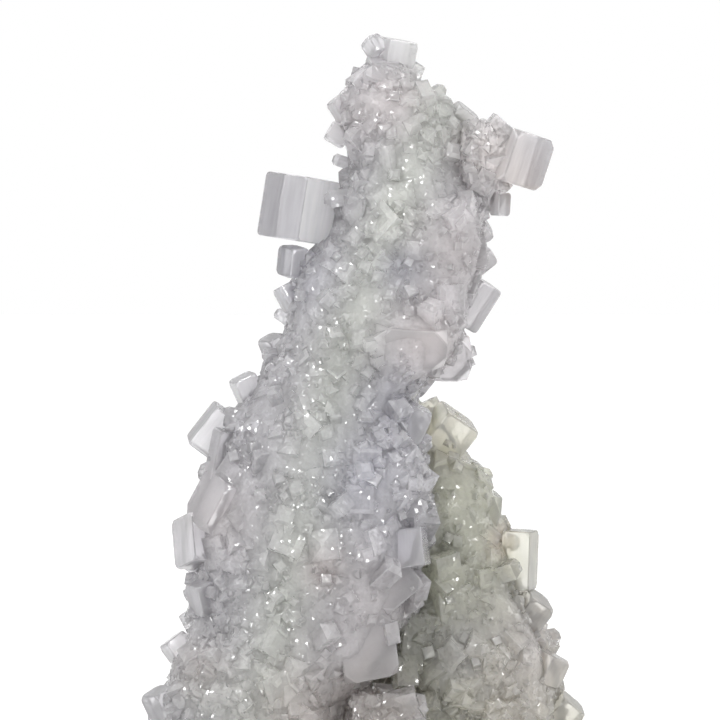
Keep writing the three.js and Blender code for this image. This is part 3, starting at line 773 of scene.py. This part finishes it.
def mesh_object(name, parts):
    """One mesh object that holds every part as it is, with each face's kind and tone."""
    mesh = bpy.data.meshes.new(name)
    offsets = np.cumsum([0] + [len(p.corners) for p in parts])
    faces = [tuple(k + int(start) for k in face) for p, start in zip(parts, offsets) for face in p.faces]
    mesh.from_pydata(np.concatenate([p.corners for p in parts]).tolist(), [], faces)
    used = np.empty(len(mesh.loops), dtype=np.int32)
    mesh.loops.foreach_get("vertex_index", used)
    own = np.concatenate([p.own for p in parts])[used]
    mesh.attributes.new("grain", "FLOAT_VECTOR", "CORNER").data.foreach_set("vector", own.ravel())
    clear = np.concatenate([np.full(len(p.faces), p.clear) for p in parts])
    mesh.attributes.new("clear", "FLOAT", "FACE").data.foreach_set("value", clear)
    tones = np.concatenate([p.tones for p in parts])
    mesh.attributes.new("tone", "FLOAT", "FACE").data.foreach_set("value", tones)
    piece = bpy.data.objects.new(name, mesh)
    bpy.context.scene.collection.objects.link(piece)
    return piece


def without_chips(mesh):
    """Takes away what isn't joined to the largest piece of a mesh."""
    shape = bmesh.new()
    shape.from_mesh(mesh)
    shape.verts.ensure_lookup_table()
    seen = np.zeros(len(shape.verts), dtype=bool)
    islands = []
    for start in shape.verts:
        if seen[start.index]:
            continue
        seen[start.index] = True
        island, front = [start], [start]
        while front:
            for edge in front.pop().link_edges:
                for v in edge.verts:
                    if not seen[v.index]:
                        seen[v.index] = True
                        island.append(v)
                        front.append(v)
        islands.append(island)
    islands.sort(key=len)
    chips = [v for island in islands[:-1] for v in island]
    bmesh.ops.delete(shape, geom=chips, context="VERTS")
    shape.to_mesh(mesh)
    shape.free()


def ground_block():
    """All that lies under the ground."""
    reach = TRIM_SIZE / 2
    corners = np.array([(x, y, z) for z in (-reach, 0.0) for x, y in SQUARE * reach])
    faces = ring_faces(4, 2)
    return Crystal(corners, corners.copy(), faces, GROUND, np.ones(len(faces)))


def joined(whole, crystals):
    """Joins crystals to a body in one closed surface, and cuts its foot off flat."""
    tools = [mesh_object(f"{whole.name}_set", group) for group in apart(crystals)]
    for tool in tools:
        combine(whole, tool, "UNION")
    ground = mesh_object(f"{whole.name}_ground", [ground_block()])
    combine(whole, ground, "DIFFERENCE")
    tools.append(ground)
    graph = bpy.context.evaluated_depsgraph_get()
    mesh = bpy.data.meshes.new_from_object(whole.evaluated_get(graph))
    whole.modifiers.clear()
    whole.data = mesh
    mesh.materials.clear()
    for tool in tools:
        bpy.data.objects.remove(tool)
    return mesh


def combine(whole, tool, operation):
    """Adds a step that joins a tool to a body or cuts it away."""
    step = whole.modifiers.new(tool.name, "BOOLEAN")
    step.operation = operation
    step.solver = "MANIFOLD"
    step.object = tool


def to_metres(piece):
    """Moves a piece from the part's millimetres to the frame's metres."""
    mesh = piece.data
    place = np.empty(len(mesh.vertices) * 3)
    mesh.vertices.foreach_get("co", place)
    place = (place.reshape(-1, 3) - MIDDLE) * MM
    mesh.vertices.foreach_set("co", place.ravel())
    mesh.update()


def corners_of(piece):
    """The places of a piece's vertices."""
    place = np.empty(len(piece.data.vertices) * 3)
    piece.data.vertices.foreach_get("co", place)
    return place.reshape(-1, 3)


def paint(piece, colours):
    """Keeps one colour for each vertex under the name tint."""
    layer = piece.data.color_attributes.new("tint", "FLOAT_COLOR", "POINT")
    rgba = np.c_[colours, np.ones(len(colours))]
    layer.data.foreach_set("color", rgba.ravel())


def spot(points, x, z, reach):
    """Weight from 1 at a place on the front to 0 away from it."""
    across = ((points[:, 0] - x) ** 2 + (points[:, 2] - z) ** 2) / reach**2
    return np.exp(-across)


def mix(colours, other, weight):
    """Colours turned towards another, each by its own weight."""
    return colours + (np.array(other) - colours) * weight[:, None]


SAGE = (0.785, 0.797, 0.765)
LAVENDER = (0.732, 0.724, 0.745)
IRIS = (0.715, 0.714, 0.762)
BLUSH = (0.810, 0.775, 0.775)
ROSE = (0.820, 0.768, 0.755)
AMBER = (0.900, 0.760, 0.660)
PEACH = (0.830, 0.780, 0.740)
# partly the crystal's beige, partly painted light that lifts the shade in hollows
PAINTED_LIGHT_BEIGE = (1.000, 0.950, 0.890)
MAUVE = (0.690, 0.660, 0.655)
OLIVE = (0.730, 0.734, 0.650)
CREAM = (0.920, 0.890, 0.810)

# The green band up the tall spire's front: height and middle
BAND_HEIGHTS = (0, 10, 23, 42, 58, 75, 89)
BAND_MIDDLES = (-15, -13.7, -11, -6.5, -2.6, 3.9, 9.1)
BAND_REACH = 4.5
# Where other colours show, and where painted light lifts the shade: middle across and up, reach, colour and
# strength
TALL_STAINS = [
    (2.6, 87.0, 4.5, BLUSH, 0.9),
    (-2.6, 85.0, 4.0, BLUSH, 0.5),
    (9.8, 85.0, 3.0, SAGE, 0.8),
    # painted light on the right shoulder's druse
    (16.0, 80.6, 4.0, PAINTED_LIGHT_BEIGE, 0.45),
    (16.0, 80.6, 5.0, ROSE, 0.55),
    (21.8, 79.8, 2.4, IRIS, 1.0),
    (19.5, 75.9, 1.8, AMBER, 1.0),
    (11.0, 68.0, 6.0, ROSE, 0.5),
    (3.9, 65.5, 3.0, IRIS, 0.8),
    (-9.1, 65.5, 5.0, IRIS, 0.6),
    (7.2, 55.8, 5.5, ROSE, 0.7),
    (3.3, 48.6, 5.0, IRIS, 0.7),
    (-1.3, 39.5, 6.0, IRIS, 0.8),
    (4.6, 30.4, 3.0, IRIS, 1.0),
    (-20.0, 34.3, 5.0, BLUSH, 0.7),
    (-24.0, 30.4, 2.0, IRIS, 1.0),
    (-5.9, 27.8, 2.5, ROSE, 0.9),
    (1.3, 22.6, 8.0, BLUSH, 0.6),
    (-21.5, 14.2, 3.5, ROSE, 0.8),
    (-19.5, 10.9, 6.0, SAGE, 0.6),
    (-7.8, 8.5, 7.0, PEACH, 0.7),
    (0.5, 10.0, 5.0, AMBER, 0.25),
    (2.0, 8.0, 5.0, PEACH, 0.9),
]
SHORT_STAINS = [
    (10.4, 44.7, 5.0, CREAM, 1.0),
    (17.6, 29.8, 2.0, AMBER, 0.6),
    (22.8, 17.4, 8.0, MAUVE, 0.9),
    (11.7, 16.1, 4.0, LAVENDER, 0.6),
    (19.5, 8.0, 9.0, PEACH, 0.6),
    # painted light in the shaded gap at the foot between the spires
    (2.5, 9.0, 4.0, PAINTED_LIGHT_BEIGE, 1.0),
]
FOOT_PAINTED_SHADE, TIP_PAINTED_LIGHT = 0.92, 1.05  # painted light: the spires are paler towards the tip, with painted shade at the foot


def stained(points, colours, stains):
    """Colours with the stains on them, and painted light that makes them paler towards the tip, with painted
    shade at the foot.
    """
    for x, z, reach, colour, strength in stains:
        colours = mix(colours, colour, strength * spot(points, x, z, reach))
    # painted light and shade: darker at the foot, paler towards the tip
    painted_light = np.interp(points[:, 2], (0, TALL.top), (FOOT_PAINTED_SHADE, TIP_PAINTED_LIGHT))
    return colours * painted_light[:, None]


def tall_tint(points):
    colours = np.tile(np.array(LAVENDER), (len(points), 1))
    middle = np.interp(points[:, 2], BAND_HEIGHTS, BAND_MIDDLES)
    colours = mix(colours, SAGE, np.exp(-(((points[:, 0] - middle) / BAND_REACH) ** 2)))
    return stained(points, colours, TALL_STAINS)


def short_tint(points):
    return stained(points, np.tile(np.array(OLIVE), (len(points), 1)), SHORT_STAINS)


# Materials

APOPHYLLITE_IOR = 1.535
GLOW_DEPTH = 0.003  # how far light spreads inside the milky crystal
FACETS_TO_METRE = 3000.0
RIDGE_SCALE = (2.5, 2.5, 0.3)  # ridges to the millimetre across and along a crystal
RIDGE_HEIGHT = 0.0001
# Scale and detail of the noises
CLOUDS, RIDGES, CORE_CLOUDS = (0.45, 3.0), (1.0, 1.5), (500.0, 6.0)
CLOUD_LOW, CLOUD_HIGH = 0.3, 0.7  # part of the noise that the shades spread over
CORE_SHADES, CORE_ROUGHNESS = (0.86, 1.06), 0.6
FLOOR_WHITE, FLOOR_ROUGHNESS = 0.95, 0.9


@dataclass
class Looks:
    """How a kind of crystal looks."""

    clearness: float
    roughness: float
    ridge: float  # strength of the fine ridges along it
    shades: tuple  # how dark and how pale its clouds are
    glitter: float = 0.0  # how far its small facets lean apart
    even: bool = False  # evenly clouded, not in streaks


CRUST = Looks(0.72, 0.04, 0.05, (0.85, 1.0), glitter=0.5)
RIDGED = Looks(0.72, 0.03, 0.75, (0.85, 1.0))
SMOOTH_FACED = Looks(0.74, 0.1, 0.06, (0.9, 1.0), glitter=0.1, even=True)
CLEAR_TALL = Looks(0.72, 0.03, 0.22, (0.86, 1.04))
CLEAR_SHORT = Looks(0.75, 0.03, 0.25, (0.86, 1.06))
# What is left of the light in the depth of the crystal, and how fast it goes
TALL_ABSORBED, TALL_DENSITY = (0.87, 0.86, 0.87), 100.0
SHORT_ABSORBED, SHORT_DENSITY = (0.85, 0.85, 0.80), 140.0
SHORT_CLEAR_ABSORBED = (0.86, 0.86, 0.82)


def new_material(name):
    material = bpy.data.materials.new(name)
    material.use_nodes = True
    nodes = material.node_tree.nodes
    return material, nodes, material.node_tree.links, nodes["Principled BSDF"]


def noise_of(nodes, links, vector, scale, detail):
    texture = nodes.new("ShaderNodeTexNoise")
    texture.inputs["Scale"].default_value = scale
    texture.inputs["Detail"].default_value = detail
    links.new(vector, texture.inputs["Vector"])
    return texture.outputs["Fac"]


def tinted(nodes, links, shader, factor, shades):
    """Puts the piece's own tint on a shader, shaded by a noise and by the tone of each face, which holds
    painted light and shade on some blocks.
    """
    tint = nodes.new("ShaderNodeAttribute")
    tint.attribute_name = "tint"
    shade = nodes.new("ShaderNodeMapRange")
    shade.inputs["From Min"].default_value = CLOUD_LOW
    shade.inputs["From Max"].default_value = CLOUD_HIGH
    shade.inputs["To Min"].default_value, shade.inputs["To Max"].default_value = shades
    links.new(factor, shade.inputs["Value"])
    tone = nodes.new("ShaderNodeAttribute")
    tone.attribute_name = "tone"
    whole_shade = nodes.new("ShaderNodeMath")
    whole_shade.operation = "MULTIPLY"
    links.new(shade.outputs["Result"], whole_shade.inputs[0])
    links.new(tone.outputs["Fac"], whole_shade.inputs[1])
    product = nodes.new("ShaderNodeVectorMath")
    product.operation = "SCALE"
    links.new(tint.outputs["Color"], product.inputs[0])
    links.new(whole_shade.outputs["Value"], product.inputs["Scale"])
    links.new(product.outputs["Vector"], shader.inputs["Base Color"])


def glittering(nodes, links, normal, glitter):
    """A normal that leans by chance from one small facet to the next."""
    facets = nodes.new("ShaderNodeTexVoronoi")
    facets.inputs["Scale"].default_value = FACETS_TO_METRE
    place = nodes.new("ShaderNodeTexCoord")
    links.new(place.outputs["Object"], facets.inputs["Vector"])
    lean = nodes.new("ShaderNodeVectorMath")
    lean.operation = "MULTIPLY_ADD"
    lean.inputs[1].default_value = (glitter,) * 3
    lean.inputs[2].default_value = (-glitter / 2,) * 3
    links.new(facets.outputs["Color"], lean.inputs[0])
    leaned = nodes.new("ShaderNodeVectorMath")
    links.new(normal, leaned.inputs[0])
    links.new(lean.outputs["Vector"], leaned.inputs[1])
    unit = nodes.new("ShaderNodeVectorMath")
    unit.operation = "NORMALIZE"
    links.new(leaned.outputs["Vector"], unit.inputs[0])
    return unit.outputs["Vector"]


def crystal_material(name, looks, absorbed, density):
    """Clouded crystal, finely ridged along its length, that is clear to a degree."""
    material, nodes, links, shader = new_material(name)
    shader.inputs["Roughness"].default_value = looks.roughness
    shader.inputs["IOR"].default_value = APOPHYLLITE_IOR
    shader.inputs["Transmission Weight"].default_value = looks.clearness
    shader.inputs["Subsurface Weight"].default_value = 1.0
    shader.inputs["Subsurface Radius"].default_value = (1, 1, 1)
    shader.inputs["Subsurface Scale"].default_value = GLOW_DEPTH
    grain = nodes.new("ShaderNodeAttribute")
    grain.attribute_name = "grain"
    stretch = nodes.new("ShaderNodeVectorMath")
    stretch.operation = "MULTIPLY"
    stretch.inputs[1].default_value = RIDGE_SCALE
    links.new(grain.outputs["Vector"], stretch.inputs[0])
    clouded = (grain if looks.even else stretch).outputs["Vector"]
    tinted(nodes, links, shader, noise_of(nodes, links, clouded, *CLOUDS), looks.shades)
    bump = nodes.new("ShaderNodeBump")
    bump.inputs["Strength"].default_value = looks.ridge
    bump.inputs["Distance"].default_value = RIDGE_HEIGHT
    links.new(noise_of(nodes, links, stretch.outputs["Vector"], *RIDGES), bump.inputs["Height"])
    links.new(glittering(nodes, links, bump.outputs["Normal"], looks.glitter), shader.inputs["Normal"])
    depth = nodes.new("ShaderNodeVolumeAbsorption")
    depth.inputs["Color"].default_value = (*absorbed, 1)
    depth.inputs["Density"].default_value = density
    links.new(depth.outputs["Volume"], nodes["Material Output"].inputs["Volume"])
    return material


def core_material(name):
    """The milky inside of a spire, as it shows through the crust."""
    material, nodes, links, shader = new_material(name)
    shader.inputs["Roughness"].default_value = CORE_ROUGHNESS
    place = nodes.new("ShaderNodeTexCoord")
    clouds = noise_of(nodes, links, place.outputs["Object"], *CORE_CLOUDS)
    tinted(nodes, links, shader, clouds, CORE_SHADES)
    return material


def floor_material():
    material, _, _, shader = new_material("pale_floor")
    shader.inputs["Base Color"].default_value = (FLOOR_WHITE, FLOOR_WHITE, FLOOR_WHITE, 1)
    shader.inputs["Roughness"].default_value = FLOOR_ROUGHNESS
    return material


# Pieces


def all_crystals(spire, skin, layers):
    """Every crystal that grows on a spire's skin."""
    blocks = {kind: [] for kind in (MILKY, SMOOTH, CLEAR)}
    for index, b in enumerate(spire.blocks):
        blocks[b.clear].append(block_crystal(spire, b, index))
    covered = blocks[MILKY] + blocks[SMOOTH]
    crystals = covered + blocks[CLEAR] + list(small_crystals(spire))
    for layer in layers:
        crystals += druse(spire, [skin] + covered, layer)
    return crystals + list(glints(spire))


def give_materials(mesh, materials):
    """Gives a crust its materials, in the order of DRESSED, after the kind of each face."""
    for material in materials:
        mesh.materials.append(material)
    clear = np.empty(len(mesh.polygons))
    mesh.attributes["clear"].data.foreach_get("value", clear)
    slots = sum(np.isclose(clear, kind) * slot for slot, kind in enumerate(DRESSED, start=1))
    mesh.polygons.foreach_set("material_index", slots.astype(np.int32))
    mesh.polygons.foreach_set("use_smooth", clear == GROUND)


def make_crust(spire, name, node, tint, materials, layers):
    """A spire's outer crystals in one closed mesh, which takes the place of the solid."""
    skin = skin_solid(spire, CRUST_INSET, ROW_STEP, CRUST_FOOT, spire.top)
    piece = mesh_object(name, [skin])
    mesh = joined(piece, all_crystals(spire, skin, layers))
    without_chips(mesh)
    paint(piece, tint(corners_of(piece)))
    to_metres(piece)
    give_materials(mesh, materials)
    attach(piece, "root")
    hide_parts(node)
    return piece


def make_core(spire, name, tint, material):
    """A spire's milky inside."""
    solid = skin_solid(spire, CORE_INSET, CORE_STEP, CORE_FOOT, spire.top - CORE_INSET)
    piece = mesh_object(name, [solid])
    paint(piece, tint(corners_of(piece)))
    to_metres(piece)
    piece.data.materials.append(material)
    for polygon in piece.data.polygons:
        polygon.use_smooth = True
    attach(piece, "root")
    return piece


tall_crystal = [
    crystal_material("milky_crust", CRUST, TALL_ABSORBED, TALL_DENSITY),
    crystal_material("clear_crystal", CLEAR_TALL, TALL_ABSORBED, TALL_DENSITY),
    crystal_material("ridged_crystal", RIDGED, TALL_ABSORBED, TALL_DENSITY),
    crystal_material("smooth_crystal", SMOOTH_FACED, TALL_ABSORBED, TALL_DENSITY),
]
short_crystal = [
    crystal_material("olive_crust", CRUST, SHORT_ABSORBED, SHORT_DENSITY),
    crystal_material("olive_crystal", CLEAR_SHORT, SHORT_CLEAR_ABSORBED, SHORT_DENSITY),
    crystal_material("olive_ridged_crystal", RIDGED, SHORT_ABSORBED, SHORT_DENSITY),
    crystal_material("olive_smooth_crystal", SMOOTH_FACED, SHORT_ABSORBED, SHORT_DENSITY),
]
milky_core = core_material("milky_core")

make_crust(TALL, "tall_spire_crust", "tall_spire", tall_tint, tall_crystal, TALL_LAYERS)
make_crust(
    SHORT, "short_spire_crust", "short_spire", short_tint, short_crystal, SHORT_LAYERS
)
make_core(TALL, "tall_spire_core", tall_tint, milky_core)
make_core(SHORT, "short_spire_core", short_tint, milky_core)


# Stage

FLOOR_SIZE = 6.0


def make_floor():
    """A pale floor under the object."""
    bpy.ops.mesh.primitive_plane_add(size=FLOOR_SIZE, location=(0, 0, 0))
    floor = bpy.context.object
    floor.name = "floor"
    floor.data.materials.append(floor_material())


def make_world():
    """A white studio, brightest overhead. The camera sees it as plain white."""
    world = bpy.data.worlds.new("studio")
    bpy.context.scene.world = world
    world.use_nodes = True
    nodes, links = world.node_tree.nodes, world.node_tree.links
    direction = nodes.new("ShaderNodeTexCoord")
    axes = nodes.new("ShaderNodeSeparateXYZ")
    links.new(direction.outputs["Generated"], axes.inputs["Vector"])
    height = nodes.new("ShaderNodeMapRange")
    height.inputs["To Min"].default_value = STUDIO_LOW
    height.inputs["To Max"].default_value = STUDIO_HIGH
    links.new(axes.outputs["Z"], height.inputs["Value"])
    seen = nodes.new("ShaderNodeLightPath")
    strength = nodes.new("ShaderNodeMix")
    strength.data_type = "FLOAT"
    links.new(seen.outputs["Is Camera Ray"], strength.inputs["Factor"])
    links.new(height.outputs["Result"], strength.inputs["A"])
    strength.inputs["B"].default_value = 1.0
    background = nodes["Background"]
    background.inputs["Color"].default_value = (1, 1, 1, 1)
    links.new(strength.outputs["Result"], background.inputs["Strength"])


def softbox(name, aside, above, distance, size, radiance):
    """A square lamp that faces the object. Its power follows from its size and how bright it looks."""
    light = bpy.data.lights.new(name, "AREA")
    light.shape = "SQUARE"
    light.size = size
    light.energy = radiance * math.pi * size**2
    lamp = bpy.data.objects.new(name, light)
    lamp.location = lamp_place(aside, above, distance)
    lamp.rotation_euler = (lamp.location - LAMP_AIM).to_track_quat("Z", "Y").to_euler()
    bpy.context.scene.collection.objects.link(lamp)


def make_camera():
    """A camera that frames the object as the photograph does."""
    camera = bpy.data.cameras.new("camera")
    camera.sensor_width = SENSOR
    camera.lens = SENSOR * VIEW_DISTANCE / VIEW_WIDTH
    camera.clip_start = 0.01
    camera.clip_end = 20.0
    holder = bpy.data.objects.new("camera", camera)
    holder.location = VIEW_AIM + VIEW_BACK * VIEW_DISTANCE
    holder.rotation_euler = VIEW_BACK.to_track_quat("Z", "Y").to_euler()
    bpy.context.scene.collection.objects.link(holder)
    bpy.context.scene.camera = holder


make_floor()
make_world()
for index, facts in enumerate(SOFTBOXES):
    softbox(f"softbox_{index}", *facts)
make_camera()
bpy.context.scene.view_settings.view_transform = "Standard"
